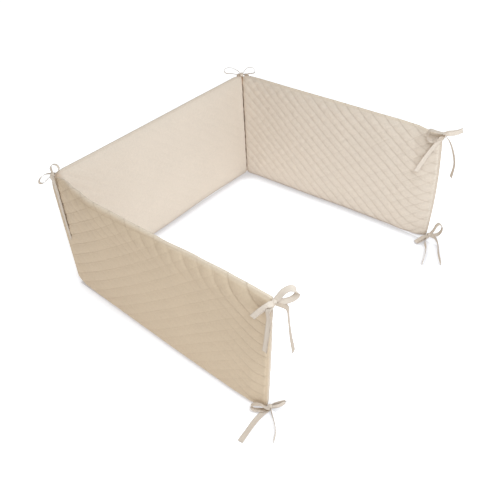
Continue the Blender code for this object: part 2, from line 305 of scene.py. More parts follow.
# ---- Quilting ----
LATTICE_SIZE = (61, 67)
LATTICE_START = 500.0       # keeps places on the lattice above zero
SHEAR_REACH = 350 * MM      # the side pads' cloth hangs askew up to here from the corner
WANDER, WANDER_SIZE = 0.8 * MM, 45 * MM  # how far the sewn lines stray, and in what size of waves
PULL_REACH = 125 * MM       # the ties pull the sewn lines this far from a free end
RIGHT_PULL, LEFT_PULL = 1.3, 1.05
TOP_PULL = 0.65             # the left pad's top edge pulls its lines too
TOP_PULL_BAND = (0.24, 0.06)
PUFF_FULLNESS = 2.6
LINE_ROUNDING = 0.05        # softens the bottom of a sewn line
UNEVEN_PUFFS = 0.35 * MM
CREASES, CREASE_SIZE = 0.34 * MM, 5.5 * MM
END_ZONE = 0.13             # near a free end both families of lines show

# Bands, each a start and a reach: heights on the left pad, and distances from the corner.
TOP_BAND = (0.22, 0.05)
UPPER_HALF = (0.10, 0.14)
CORNER_TOP = (0.18, 0.06)
CORNER_TOP_OPENS = (0.01, 0.05)
CORNER_TOP_ENDS = (0.20, 0.16)
PAST_CORNER = (0.15, 0.12)


def lattice_noise(x, y, size, seed):
    """Smooth noise from -1 to 1 with bumps of a given size."""
    lattice = np.random.default_rng(seed).uniform(-1.0, 1.0, LATTICE_SIZE)
    column, row = x / size + LATTICE_START, y / size + LATTICE_START
    i, j = np.floor(column).astype(int), np.floor(row).astype(int)
    u, v = ease(column - i), ease(row - j)

    def across_row(number):
        values = [lattice[place % LATTICE_SIZE[0], number % LATTICE_SIZE[1]] for place in (i, i + 1)]
        return values[0] * (1 - u) + values[1] * u

    return across_row(j) * (1 - v) + across_row(j + 1) * v


def sewn_phases(pad, along, up, quilting):
    """Phase of both families of sewn lines, a whole number on each line.

    The deep lines fall and the shallow ones rise to the right, seen from inside the U. Near a free end
    the ties pull the cloth, and one family swings towards level.
    """
    slope = quilting.diamond_height / quilting.diamond_width
    near = np.minimum(along, SHEAR_REACH)
    sheared = along + pad.shear * (near - near ** 2 / (2.0 * SHEAR_REACH))
    strip = pad.strip_start + pad.strip_sense * sheared
    deep = up + slope * strip + WANDER * lattice_noise(strip, up, WANDER_SIZE, 5)
    shallow = up - slope * strip + WANDER * lattice_noise(strip, up, WANDER_SIZE, 6)
    if pad.end_kind == "free":
        pulled = np.clip(1.0 - (pad.length - along) / PULL_REACH, 0.0, 1.0)
        swing = slope * PULL_REACH * pulled ** 3 / 3.0
        if pad is RIGHT:
            deep = deep - RIGHT_PULL * swing
        else:
            start, reach = TOP_PULL_BAND
            near_top = np.clip((up - start) / reach, 0.0, 1.0)
            top_swing = TOP_PULL * reach * near_top ** 2 / 2.0 * ease(along / 0.35)
            shallow = shallow - LEFT_PULL * swing - top_swing
    return deep / quilting.diamond_height, shallow / quilting.diamond_height


def puff(phase):
    """0 on a sewn line, 1 half-way between two."""
    share = 2.0 * np.abs(phase - np.round(phase))
    share = np.sqrt(share ** 2 + LINE_ROUNDING ** 2) - LINE_ROUNDING
    return 1.0 - (1.0 - np.clip(share, 0.0, 1.0)) ** PUFF_FULLNESS


def corner_top(along, up):
    """Where the left pad's cloth shows both families of lines, under its top edge by the corner."""
    return band(up, CORNER_TOP) * band(along, CORNER_TOP_OPENS) * (1.0 - band(along, CORNER_TOP_ENDS))


def end_zone(pad, along, steepness, delay=0.0):
    """Rises from 0 to 1 towards a pad's free end."""
    return ease((1.0 - (pad.length - along) / END_ZONE) * steepness - delay)


def puff_height(pad, along, up, phases, quilting):
    """How far the cloth stands out from the bottom of the sewn lines."""
    deep, shallow = puff(phases[0]), puff(phases[1])
    cell = lattice_noise(np.floor(phases[0]), np.floor(phases[1]), 1.0, pad.seed)
    deep_share, shallow_share = np.ones_like(along), np.ones_like(along)
    if pad is LEFT:
        top_band = np.maximum(band(up, TOP_BAND) * ease(along / 0.4), 0.5 * corner_top(along, up))
        shallow_share = 1.0 + 3.5 * top_band + 2.0 * end_zone(pad, along, 1.4)
        deep_share = (0.85 - 0.2 * band(along, PAST_CORNER)) * (1.0 - 0.6 * end_zone(pad, along, 1.6))
    if pad is RIGHT:
        deep_share = (0.66 + 0.16 * ease(along / 0.4)) * (1.0 - 0.15 * end_zone(pad, along, 1.5))
        shallow_share = 1.0 + 1.4 * end_zone(pad, along, 1.5, 0.3)
    height = quilting.deep_groove * deep_share * deep + quilting.shallow_groove * shallow_share * shallow
    height = height + UNEVEN_PUFFS * cell * deep * shallow
    by_line = np.clip((1.0 - deep) + 0.6 * (1.0 - shallow), 0, 1)
    return height + CREASES * lattice_noise(along, up, CREASE_SIZE, pad.seed + 1) * by_line


def line_shares(pad, grid):
    """How clearly the deep and the shallow lines are drawn over a pad."""
    along, up, inside = grid.along, grid.up, (grid.side > 0.0) * np.ones_like(grid.along)
    if pad is LEFT:
        near_corner = 1.0 - band(along, (0.12, 0.14))
        near_end = ease(1.2 - grid.to_end / 0.12)
        upper_half = band(up, UPPER_HALF) * ease(along / 0.1)
        top_band = band(up, TOP_BAND) * ease(along / 0.3)
        deep = (0.45 + 0.30 * near_corner) * (1.0 - 0.6 * near_end) + 0.5 * inside
        shallow = 0.08 + 0.9 * near_end + 0.3 * upper_half + 0.25 * top_band + 0.5 * corner_top(along, up)
        return deep, shallow
    inner = 0.12 if pad is MIDDLE else 1.0 + 0.5 * ease(along / 0.35)
    deep = inner * inside + 0.5 * (1.0 - inside)
    if pad is MIDDLE:
        return deep, 0.3 * deep
    near_end = ease(1.2 - grid.to_end / 0.09)
    return deep * (1.0 - 0.3 * near_end), 0.3 * deep + 0.45 * near_end


# ---- Mesh helpers ----
def new_object(name, data):
    """A new object at the origin, in the scene."""
    thing = bpy.data.objects.new(name, data)
    bpy.context.scene.collection.objects.link(thing)
    return thing


def add_piece(name, points, faces, material, uv_name, uv_points):
    """A new mesh object at the origin, smooth, with a UV map given point by point."""
    mesh = bpy.data.meshes.new(name)
    mesh.from_pydata(points.tolist(), [], faces)
    mesh.materials.append(material)
    layer = mesh.uv_layers.new(name=uv_name)
    corner_points = np.zeros(len(mesh.loops), dtype=np.int32)
    mesh.loops.foreach_get("vertex_index", corner_points)
    layer.data.foreach_set("uv", uv_points[corner_points].astype(np.float32).ravel())
    mesh.shade_smooth()
    mesh.validate()
    mesh.update()
    return new_object(name, mesh)


def point_values(piece, name, values):
    """A float attribute on a piece's points."""
    attribute = piece.data.attributes.new(name, "FLOAT", "POINT")
    attribute.data.foreach_set("value", values.astype(np.float32).ravel())


def unit(vectors):
    """The same directions with a length of 1."""
    return vectors / np.maximum(np.linalg.norm(vectors, axis=-1, keepdims=True), 1e-12)


def grid_normals(points):
    """Unit normals that point out of a grid closed round its second axis, and if they were turned."""
    along = np.gradient(points, axis=0)
    around = np.roll(points, -1, axis=1) - np.roll(points, 1, axis=1)
    normals = unit(np.cross(along, around))
    turned = (normals * (points - points.mean(axis=1, keepdims=True))).sum() < 0.0
    return (-normals if turned else normals), turned


def ring_quads(here, there):
    """Four-sided faces between rings of points, each ring closed round."""
    quads = np.stack([here, there, np.roll(there, -1, axis=1), np.roll(here, -1, axis=1)], axis=2)
    return quads.reshape(-1, 4).tolist()


def tube_faces(columns, ring):
    """Faces of a grid of columns by ring, closed round, with both ends capped by strips across it."""
    index = np.arange(columns * ring).reshape(columns, ring)
    faces = ring_quads(index[:-1], index[1:])
    top = ring // 2
    for cap, flip in ((index[0], False), (index[-1], True)):
        strip = [(cap[0], cap[1], cap[ring - 1])]
        strip += [(cap[k], cap[k + 1], cap[ring - k - 1], cap[ring - k]) for k in range(1, top - 1)]
        strip += [(cap[top - 1], cap[top], cap[top + 1])]
        faces += [tuple(int(i) for i in (face[::-1] if flip else face)) for face in strip]
    return faces


# ---- Pads ----
COLUMN_STEP = 1.4 * MM      # about the distance between columns in a corner fold
RIM_SHIFT_REACH = 0.06
INNER_RELIEF, OUTER_RELIEF = 1.45, 0.75
MIDDLE_RELIEF, MIDDLE_EXTRA, MIDDLE_EXTRA_REACH = 0.3, 0.4, 0.25    # extra by the left corner
RIM_SEAM = 5.0 * MM         # the seam runs this far from the edge, measured over the cloth
BROAD_RIM = 9 * MM          # extra width of the left pad's rim, on its outer face
BROAD_RIM_OPENS = (0.03, 0.06)
BROAD_RIM_ENDS = (0.18, 0.24)
END_SEAM = 1.0 * MM
SEAM_DEPTH, SEAM_WIDTH = 0.5 * MM, 1.2 * MM
SEAM_FADE = 5 * MM          # the quilting fades in over this length from the seam
FOLD_FADE = (4 * MM, 12 * MM)
LOFT, LOFT_SIZE, LOFT_FADE = 0.7 * MM, 70 * MM, 30 * MM     # slow unevenness of the padding
SLOW_SWAY, SWAY_SIZE, SWAY_FADE = 0.8 * MM, 110 * MM, 60 * MM
INNER_FACE = 0.2            # a column's ring is on its inner face past this side
CREVICE_REACH = 9 * MM
CREVICE_WAVE, CREVICE_WAVE_SIZE = 1.7 * MM, 7 * MM
PARTING = 1.1 * MM          # the two pads part a little at the top of the left corner
PARTING_BAND = (0.262, 0.02)
PARTING_REACH = {"quilted_middle": 24 * MM, "quilted_left": 10 * MM}


class PadGrid:
    """Bare surface of a pad: columns along it, each a ring round its outer and inner face."""

    def __init__(self, pad):
        outline, run = half_outline()
        self.girth = run[-1]
        self.side = np.concatenate([-outline[:-1, 0], outline[:0:-1, 0]])  # -1 outside to 1 inside
        height = np.concatenate([outline[:-1, 1], outline[:0:-1, 1]])
        fabric = np.concatenate([run[:-1], run[:0:-1]])
        inner, outer = face_lines(pad)
        mix = (self.side + 1.0) / 2.0
        self.along = outer[:, None, 0] * (1 - mix) + inner[:, None, 0] * mix
        inward = outer[:, None, 1] * (1 - mix) + inner[:, None, 1] * mix
        height = np.broadcast_to(height, self.along.shape)
        self.fabric = np.broadcast_to(fabric, self.along.shape)  # distance over the cloth from the foot
        near_top = closeness(HEIGHT - height, TOP_TAPER)
        inward = inward + pad.rim_shift * near_top * ease(self.along / RIM_SHIFT_REACH)
        top, foot = top_and_foot(pad, self.along)
        self.up = foot + (top - foot) * height / HEIGHT
        plan = middle_plan(pad, self.along / pad.length, height / HEIGHT) - scaled(pad.outward, inward)
        self.points = np.concatenate([plan, self.up[..., None]], axis=2)
        self.strip = pad.strip_start + pad.strip_sense * self.along
        self.to_rim = np.minimum(self.girth - self.fabric, self.fabric)
        self.to_corner = np.arange(len(self.along))[:, None] * np.ones_like(self.along) * COLUMN_STEP
        if pad.end_kind == "fold":
            self.to_fold = np.minimum(self.to_corner, self.to_corner[::-1])
            self.to_end = np.full_like(self.along, 1.0)
        else:
            self.to_fold = self.to_corner
            self.to_end = pad.length - self.along


def face_relief(pad, grid):
    """How strongly the quilting stands out: less on the outer faces and on the middle pad's inner one."""
    inner = INNER_RELIEF
    if pad is MIDDLE:
        inner = MIDDLE_RELIEF + MIDDLE_EXTRA * (1.0 - ease(grid.along / MIDDLE_EXTRA_REACH))
    return np.where(grid.side > 0.0, inner, OUTER_RELIEF + 0.0 * grid.along)


def rim_and_end_seams(pad, grid):
    """Distance to the seams from inside them, and how deep they are sewn: 1 on a seam."""
    rim_seam = np.full_like(grid.along, RIM_SEAM)
    if pad is LEFT:
        broad = band(grid.along, BROAD_RIM_OPENS) * (1.0 - band(grid.along, BROAD_RIM_ENDS))
        rim_seam = rim_seam + BROAD_RIM * broad * (grid.side < 0.0) * (grid.up > HEIGHT / 2.0)
    distance = np.minimum(grid.to_rim - rim_seam, grid.to_end - END_SEAM)
    seam = np.exp(-(distance / SEAM_WIDTH) ** 2)
    if pad is LEFT:
        seam = seam * (0.1 + 0.6 * band(grid.along, (0.06, 0.08)))
    return distance, seam


def build_pad(pad, material, quilting):
    """A closed, padded and quilted section."""
    grid = PadGrid(pad)
    along, up, strip = grid.along, grid.up, grid.strip
    to_fold, inner_face = grid.to_fold, grid.side > INNER_FACE
    phases = sewn_phases(pad, along, grid.fabric - grid.girth / 2.0 + HEIGHT / 2.0, quilting)
    distance, seam = rim_and_end_seams(pad, grid)
    puffs = puff_height(pad, along, up, phases, quilting) * face_relief(pad, grid)
    puffs = puffs * ease(distance / SEAM_FADE) * band(to_fold, FOLD_FADE)
    edge = np.minimum(grid.to_rim, grid.to_end)
    loft = LOFT * lattice_noise(strip, up, LOFT_SIZE, 3) * ease(edge / LOFT_FADE) * ease(to_fold / LOFT_FADE)
    crevice = np.clip(1.0 - to_fold / CREVICE_REACH, 0.0, 1.0) * inner_face
    wave = CREVICE_WAVE * lattice_noise(0.0 * strip, up, CREVICE_WAVE_SIZE, pad.seed + 2)
    parting = 0.0 * up
    if pad.start is LEFT_CORNER:
        near_corner = ease(1.0 - grid.to_corner / PARTING_REACH[pad.name])
        parting = near_corner * band(up, PARTING_BAND) * inner_face
    lift = puffs - SEAM_DEPTH * seam + loft + crevice * wave - PARTING * parting
    normals, turned = grid_normals(grid.points)
    points = grid.points + normals * lift[..., None]
    slow_sway = lattice_noise(strip, up, SWAY_SIZE, 4) * ease(up / 0.08) * ease(to_fold / SWAY_FADE)
    points[..., :2] += scaled(pad.outward, SLOW_SWAY * slow_sway)
    points[..., 2] = np.maximum(points[..., 2], 0.0)
    faces = tube_faces(*along.shape)
    if not turned:
        faces = [face[::-1] for face in faces]
    uv_points = np.stack([phases[0].ravel(), phases[1].ravel()], axis=1)
    piece = add_piece(pad.name, points.reshape(-1, 3), faces, material, "quilting", uv_points)
    deep_line, shallow_line = line_shares(pad, grid)
    # Painted light: a lighter strip along the side pads' top edge, where the roll faces up to the light.
    pale_rim = 0.0 * up
    if pad is not MIDDLE:
        pale_rim = (1.0 - band(grid.to_rim, (2 * MM, 9 * MM))) * (grid.fabric > grid.girth / 2.0)
        pale_rim = pale_rim * band(along, (0.02, 0.09))
    # seam: painted shade in the rim and end seams, and where the pads part at the top of the left corner.
    for name, values in (("seam", np.maximum(seam, 2.2 * parting)),
                         # inside: where the paler, painted-light copy of the plush shows
                         ("inside", band(grid.side, (-0.6, 0.9)) * np.ones_like(along)),
                         ("deep_line", deep_line), ("shallow_line", shallow_line),
                         # crevice: painted shade deep in the corner folds, and a little where the pads part.
                         ("crevice", np.maximum(crevice, 0.6 * parting)), ("pale_rim", pale_rim)):
        point_values(piece, name, values)
    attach(piece, "root")
    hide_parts(pad.node)
    return piece


# ---- Ties ----
KNOT_RADIUS = 5.5 * MM
KNOT_SEAT = KNOT_RADIUS + 0.8 * MM
KNOT_HALF_WIDTH = 4.1 * MM
KNOT_STEPS, KNOT_ACROSS = 28, 9
KNOT_TURNS = 2
KNOT_EDGE_FALL, KNOT_EDGE_POWER = 0.30, 2.4         # how the winding falls off to its edges
KNOT_WAVES = ((2, 0.05), (5, 0.03))                 # waves to a turn, and their share of the radius
KNOT_FOLD, KNOT_FOLDS, KNOT_FOLD_SWAY = 0.35 * MM, 2.2, 0.6
KNOT_FLATNESS = 0.95
TAPE_FACING = math.radians(221.8)  # heading, in plan, that the bows face
FACING = np.array((math.cos(TAPE_FACING), math.sin(TAPE_FACING), 0.0))
RIGHTWARD = np.array((-math.sin(TAPE_FACING), math.cos(TAPE_FACING), 0.0))
UPWARD = np.array((0.0, 0.0, 1.0))


def corner_knot(pad, share):
    """A knot that sits on the dipped top of a corner fold."""
    seat = end_plan(pad, share, np.array(1.0))
    return np.array((seat[0], seat[1], HEIGHT - FOLD_DIP + KNOT_SEAT))


def end_knot(pad, height, reach=KNOT_SEAT):
    """A knot against the free end of a side pad."""
    seat = end_plan(pad, 1.0, np.array(height / HEIGHT)) + pad.along * reach
    return np.array((seat[0], seat[1], height))


TIES = {
    # tie: the pad that carries it, and its knot
    "left_corner": (MIDDLE, corner_knot(MIDDLE, 0.0)),
    "back_corner": (MIDDLE, corner_knot(MIDDLE, 1.0)),
    "right_top": (RIGHT, end_knot(RIGHT, 0.3018, 0.0042)),
    "right_foot": (RIGHT, end_knot(RIGHT, 0.0065)),
    "front_top": (LEFT, end_knot(LEFT, 0.297)),
    "front_foot": (LEFT, end_knot(LEFT, 0.0065)),
}

# Every ribbon leaves its knot along a short route: two loops and two tails a bow. The
# routes are in millimetres from the knot's centre, in the direction that the bows face: right, up, and
# out towards the viewer. breadth is the way the ribbon's width points, as breadth_direction says.
RIBBONS = (
    # tie, breadth, route
    ("left_corner", "edge", (
        (1, 0, 0), (-1, 17, 0), (6, 25, 0), (14, 22, 0), (16, 12, 0), (9, 5, 0), (2, -2, 0))),
    ("left_corner", "edge", (
        (0, 1, 0), (-12, 2, 0), (-23, -3, 0), (-31, -12, 0), (-32, -20, 0), (-24, -20, 0),
        (-13, -10, 0), (-1, -2, 0))),
    ("left_corner", "rolled", (
        (0, 0, 2), (1, 1, 10), (4, -6, 17), (7, -30, 21), (9, -105, 22), (11, -164, 22))),
    ("left_corner", "flat", (
        (0, 0, -2), (-1, -4, -13), (-4, -18, -24), (-5, -75, -27), (-7, -125, -27))),
    ("back_corner", "edge", (
        (-1, 1, 0), (-12, 13, 2), (-26, 21, 3), (-40, 21, 3), (-46, 14, 3), (-39, 6, 2),
        (-24, 4, 1), (-1, -2, 0))),
    ("back_corner", "edge", (
        (1, 1, 0), (9, 12, 0), (18, 19, 0), (29, 18, 0), (35, 10, 0), (33, 3, 0), (22, 2, 0),
        (1, -1, 0))),
    ("back_corner", "flat", (
        (0, 0, -2), (-5, -4, -14), (-9, -17, -23), (-12, -60, -27), (-13, -112, -27))),
    ("back_corner", "flat", (
        (2, 0, -1), (8, -4, -12), (15, -17, -20), (22, -60, -22), (25, -115, -22))),
    ("right_top", "flat", (
        (0, 1, 2), (9, 4, 7), (24, 6, 7), (39, 8, 1), (29, 1, -5), (13, 0, -5), (0, 1, -2))),
    ("right_top", "out", (
        (0, 3, 4), (-9, 8, 9), (-19, 10, 6), (-32, 10, -2), (-36, -2, -7), (-34, -14, -7),
        (-25, -18, -2), (-14, -8, 8), (0, -2, 6))),
    ("right_top", "flat", (
        (0, -2, 2), (-12, -10, 9), (-21, -34, 0), (-32, -65, -9), (-46, -107, -18))),
    ("right_top", "thin", (
        (1, -1, 0), (14, -18, 1), (25, -42, 2), (33, -69, 2), (35, -88, 2), (33, -116, 0))),
    ("right_foot", "out", (
        (1, 1, 0), (9, 12, 0), (15, 28, 0), (22, 33, 0), (30, 25, 0), (30, 10, 0), (21, -1, 0),
        (2, -1, 0))),
    ("right_foot", "laid", (
        (0, 1, 2), (-15, 3, 11), (-29, 2, 20), (-39, -1, 26), (-26, -4, 18), (-14, -4, 9),
        (0, -2, 2))),
    ("right_foot", "up", ((0, 0, 1), (-16, 0, 27), (-19, 0, 51), (-29, 0, 80), (-42, 0, 110))),
    ("right_foot", "up", ((1, 0, 1), (12, 0, 12), (14, 0, 34), (6, 0, 75), (2, 0, 113))),
    ("front_top", "broad", (
        (0, 1, 1), (7, 10, 1), (16, 23, 1), (27, 29, 1), (36, 23, 1), (37, 14, 1), (29, 5, 1),
        (15, 0, 1), (2, -1, 1))),
    ("front_top", "flat", (
        (0, 0, 4), (-13, 3, 12), (-25, -13, 7), (-37, -37, -2), (-25, -22, 1), (-13, -3, 8),
        (0, 0, 0))),
    ("front_top", "rolled", (
        (0, -1, 3), (-11, -8, 13), (-10, -29, 13), (-12, -57, 11), (-18, -112, 9))),
    ("front_top", "slim", (
        (1, -2, 2), (12, -3, 5), (22, -12, 5), (24, -35, 5), (27, -73, 5), (33, -118, 5))),
    ("front_foot", "up", (
        (1, 1, -1), (13, 4, -4), (22, 5, -6), (30, 4, -7), (21, 0, -3), (13, 0, 0), (1, 0, 1))),
    ("front_foot", "edge", (
        (0, 1, 4), (-8, 7, 8), (-17, 14, 6), (-29, 11, 1), (-37, 5, 1), (-31, 0, 5), (-18, -1, 6),
        (0, -2, 4))),
    ("front_foot", "laid", ((0, -1, 3), (-12, -4, 9), (-29, -5, 27), (-44, -5, 49), (-59, -5, 72))),
    ("front_foot", "up", ((1, 0, 1), (2, 0, 12), (6, 0, 34), (8, 0, 57), (3, 0, 79))),
)
RIBBON_SEED = 100
ROUTE_STEP = 1.6 * MM
CURVE_STEPS = 24            # between two points of a route, before the line is resampled
ACROSS = 8                  # faces across a ribbon
GATHER_REACH = 10 * MM      # a ribbon is gathered this close to its knot
GATHERING = 0.42            # share of its width that it loses there
PLEAT, PLEATS = 0.5 * MM, 2.5
TWIST, TWIST_SIZE = 0.14, 32 * MM
CUP, CUP_CHANGE, CUP_SIZE = 0.35 * MM, 0.6, 25 * MM  # how hollow a ribbon is across
EDGE_THINNING = 0.45
# Painted shade along both edges of every ribbon, and on ribbons seen nearly edge-on.
RIBBON_EDGE_PAINTED_SHADE = 0.15
EDGE_ON_SHADE = {"slim": 0.45, "thin": 0.15}
SIDE_PAINTED_SHADOW, SIDE_SHADOW_CHANGE, SIDE_SHADOW_SIZE = 0.60, 0.35, 7 * MM  # painted shadow, in beads, along one edge of a side-shadowed ribbon
SIDE_SHADOW_OPENS = (0.2, 0.4)     # shares of the ribbon's run


def from_knot(knot, offsets):
    """A route in space, from its offsets in the bows' own directions."""
    offsets = np.array(offsets, dtype=float) * MM
    return knot + offsets[:, :1] * RIGHTWARD + offsets[:, 1:2] * UPWARD + offsets[:, 2:] * FACING


def smooth_line(points, step):
    """A rounded line through the points, with its points an equal step apart."""
    padded = np.concatenate([[2 * points[0] - points[1]], points, [2 * points[-1] - points[-2]]])
    share = np.linspace(0.0, 1.0, CURVE_STEPS, endpoint=False)[:, None]
    pieces = []
    for before, start, end, after in zip(padded, padded[1:], padded[2:], padded[3:]):
        pieces.append(0.5 * (2 * start + (end - before) * share
                             + (2 * before - 5 * start + 4 * end - after) * share ** 2
                             + (3 * start - before - 3 * end + after) * share ** 3))
    dense = np.concatenate(pieces + [points[-1:]])
    length = np.linalg.norm(np.diff(dense, axis=0), axis=1).sum()
    return resample(dense, max(6, int(length / step)))


def breadth_direction(breadth, route):
    """The way a ribbon's width points, before it is squared to its route."""
    farthest = route[np.argmax(np.linalg.norm(route - route[0], axis=1))]
    heading = farthest - route[0]
    face_on = unit(np.cross(FACING, heading))
    return unit({
        "flat": face_on,                                # the viewer sees its full width
        "broad": 0.85 * face_on - 0.53 * FACING,        # most of its width
        "slim": 0.93 * FACING - 0.37 * face_on,         # a little of it
        "thin": 0.98 * FACING + 0.14 * face_on,
        "edge": 0.95 * FACING + 0.31 * UPWARD,
        "out": FACING,                                  # only its edge
        "up": UPWARD,
        "laid": np.cross(UPWARD, heading),              # level, across its route
        "rolled": LEFT.along_in_space,                  # along the left pad
    }[breadth])


def ribbon_shell(line, run, to_knot, breadth, width_direction, ribbons, seed):
    """Points, faces, UVs and shade of one ribbon: a thin closed strip, cupped and twisted a little."""
    tangent = unit(np.gradient(line, axis=0))
    broad = unit(width_direction - tangent * (tangent @ width_direction)[:, None])
    thick = np.cross(tangent, broad)
    level = np.zeros_like(run)
    twist = TWIST * lattice_noise(run, level, TWIST_SIZE, seed) * ease(to_knot / (2 * GATHER_REACH))
    turned = broad * np.cos(twist)[:, None] + thick * np.sin(twist)[:, None]
    thick = np.cross(tangent, turned)
    across = np.concatenate([np.linspace(-1, 1, ACROSS + 1), np.linspace(1, -1, ACROSS + 1)])
    face_side = np.repeat((1.0, -1.0), ACROSS + 1)
    tight = 1.0 - ease(to_knot / GATHER_REACH)
    width = ribbons.tape_width * (1.0 - GATHERING * tight)
    cup = CUP * (1.0 + CUP_CHANGE * lattice_noise(run, level + 1.0, CUP_SIZE, seed + 1))
    pleat = PLEAT * tight[:, None] * np.cos(across * PLEATS * np.pi)
    belly = ribbons.tape_thickness / 2.0 * (1.0 - EDGE_THINNING * across ** 6)
    lift = cup[:, None] * (across ** 2 - 0.33) + pleat + face_side * belly
    points = (line[:, None] + turned[:, None] * (across * width[:, None] / 2.0)[..., None]
              + thick[:, None] * lift[..., None])
    ring = len(across)
    index = np.arange(len(line) * ring).reshape(len(line), ring)
    faces = [face[:1] + face[:0:-1] for face in ring_quads(index[:-1], index[1:])]
    for cap, flip in ((index[0], True), (index[-1], False)):
        for k in range(ACROSS):
            face = (cap[k], cap[k + 1], cap[ring - 2 - k], cap[ring - 1 - k])
            faces.append([int(i) for i in (face if flip else face[::-1])])
    uv = np.stack(np.broadcast_arrays((across + 1) / 2 * ribbons.tape_width, run[:, None]), axis=2)
    shade = RIBBON_EDGE_PAINTED_SHADE * (np.abs(across) > 0.99) + EDGE_ON_SHADE.get(breadth, 0.0) + level[:, None]
    # Painted shadow, in beads, along one edge of a ribbon that lies along the left pad, stronger further
    # down its run.
    if breadth == "rolled":
        side_shadow = SIDE_PAINTED_SHADOW + SIDE_SHADOW_CHANGE * lattice_noise(run, level + 2.0, SIDE_SHADOW_SIZE, seed + 2)
        side_shadow = np.clip(side_shadow * (0.3 + 0.7 * band(run / run[-1], SIDE_SHADOW_OPENS)), 0.0, 1.0)
        shade = np.maximum(shade, np.clip((across - 0.4) / 0.5, 0.0, 1.0) * side_shadow[:, None])
    return points.reshape(-1, 3), faces, uv.reshape(-1, 2), shade.ravel()


def knot_shell(knot, ribbons, seed):
    """Points, faces, UVs and shade of the ribbon wound round the middle of a bow."""
    turn = np.linspace(0.0, 2 * np.pi, KNOT_STEPS, endpoint=False)
    across = np.linspace(-1, 1, KNOT_ACROSS)
    lobes = np.random.default_rng(seed).uniform(0, 2 * np.pi, 3)
    turns, places = np.meshgrid(turn, across, indexing="ij")
    bulge = KNOT_RADIUS * (1.0 - KNOT_EDGE_FALL * np.abs(places) ** KNOT_EDGE_POWER)
    bulge = bulge * (1.0 + sum(share * np.sin(waves * turns + lobe)
                               for (waves, share), lobe in zip(KNOT_WAVES, lobes)))
    fold_sway = KNOT_FOLD_SWAY * np.sin(turns + lobes[2])
    bulge = bulge + KNOT_FOLD * np.cos(places * KNOT_FOLDS * np.pi + fold_sway)
    outside, inside = [knot + (places * KNOT_HALF_WIDTH)[..., None] * RIGHTWARD
                       + (reach * np.cos(turns))[..., None] * UPWARD
                       + (reach * np.sin(turns) * KNOT_FLATNESS)[..., None] * FACING
                       for reach in (bulge, bulge - ribbons.tape_thickness)]
    shell = np.concatenate([outside, inside[:, ::-1]], axis=1)
    index = np.arange(shell.shape[0] * shell.shape[1]).reshape(shell.shape[:2])
    uv = np.stack([np.broadcast_to(np.concatenate([across, across[::-1]]) * KNOT_HALF_WIDTH, index.shape),
                   np.broadcast_to(turn[:, None] * KNOT_RADIUS, index.shape)], axis=2)
    faces = ring_quads(index, np.roll(index, -1, 0))
    return shell.reshape(-1, 3), faces, uv.reshape(-1, 2), np.zeros(index.size)


def build_tie(tie, material, ribbons):
    """A bow: a wound knot with two loops and two tails, all from one ribbon."""
    pad, knot = TIES[tie]
    shells = [knot_shell(knot, ribbons, len(tie))]
    length = KNOT_TURNS * 2 * math.pi * KNOT_RADIUS
    for number, (owner, breadth, offsets) in enumerate(RIBBONS):
        if owner != tie:
            continue
        route = from_knot(knot, offsets)
        line, run = smooth_line(route, ROUTE_STEP)
        to_knot = np.linalg.norm(line - knot, axis=1)
        shells.append(ribbon_shell(line, run, to_knot, breadth, breadth_direction(breadth, route),
                                   ribbons, RIBBON_SEED + number))
        length += run[-1]
    faces, count = [], 0
    for shell in shells:
        faces += [[i + count for i in face] for face in shell[1]]
        count += len(shell[0])
    points, uvs, shades = (np.concatenate([shell[part] for shell in shells]) for part in (0, 2, 3))
    piece = add_piece("bow_" + tie, points, faces, material, "weave", uvs)
    point_values(piece, "shade", shades)
    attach(piece, "root")
    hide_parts("tie_" + tie)
    return piece


# ---- Materials ----
class NodeTree:
    """Short ways to add and join shader nodes."""

    def __init__(self, tree):
        self.tree = tree

    def give(self, sockets, values):
        """Join the outputs among the values to their sockets, and set the other sockets."""
        for label, value in values.items():
            if isinstance(value, bpy.types.NodeSocket):
                self.tree.links.new(value, sockets[label])
            else:
                sockets[label].default_value = value

    def add(self, kind, values=(), **settings):
        """The outputs of a new node, with its settings made and values given to its inputs."""
        node = self.tree.nodes.new(kind)
        for name, value in settings.items():
            setattr(node, name, value)
        self.give(node.inputs, dict(values))
        return node.outputs

    def math(self, operation, *values, clamp=False):
        return self.add("ShaderNodeMath", enumerate(values), operation=operation, use_clamp=clamp)[0]

    def noise(self, vector, scale, detail, roughness):
        return self.add("ShaderNodeTexNoise", {"Vector": vector, "Scale": scale, "Detail": detail,
                                               "Roughness": roughness})["Fac"]

    def mix_colour(self, factor, first, second, blend="MIX"):
        return self.add("ShaderNodeMix", {0: factor, 6: first, 7: second}, data_type="RGBA",
                        blend_type=blend)[2]

    def colour(self, *parts):
        return self.add("ShaderNodeCombineColor", enumerate(parts))[0]

    def attribute(self, name):
        return self.add("ShaderNodeAttribute", attribute_name=name)["Fac"]

    def uv_map(self, name):
        return self.add("ShaderNodeUVMap", uv_map=name)["UV"]

    def object_place(self):
        return self.add("ShaderNodeTexCoord")["Object"]

    def bump(self, height, strength, distance):
        return self.add("ShaderNodeBump", {"Height": height, "Strength": strength,
                                           "Distance": distance})["Normal"]


def new_group(name, inputs, outputs):
    """A shader node group's nodes, given inputs and results. inputs: labels and defaults."""
    group = bpy.data.node_groups.new(name, "ShaderNodeTree")
    for label, default in inputs.items():
        kind = "NodeSocketVector" if default is None else "NodeSocketFloat"
        socket = group.interface.new_socket(label, in_out="INPUT", socket_type=kind)
        if default is not None:
            socket.default_value = default
    for label in outputs:
        group.interface.new_socket(label, in_out="OUTPUT", socket_type="NodeSocketFloat")
    nodes = NodeTree(group)
    return nodes, nodes.add("NodeGroupInput"), group.nodes.new("NodeGroupOutput").inputs


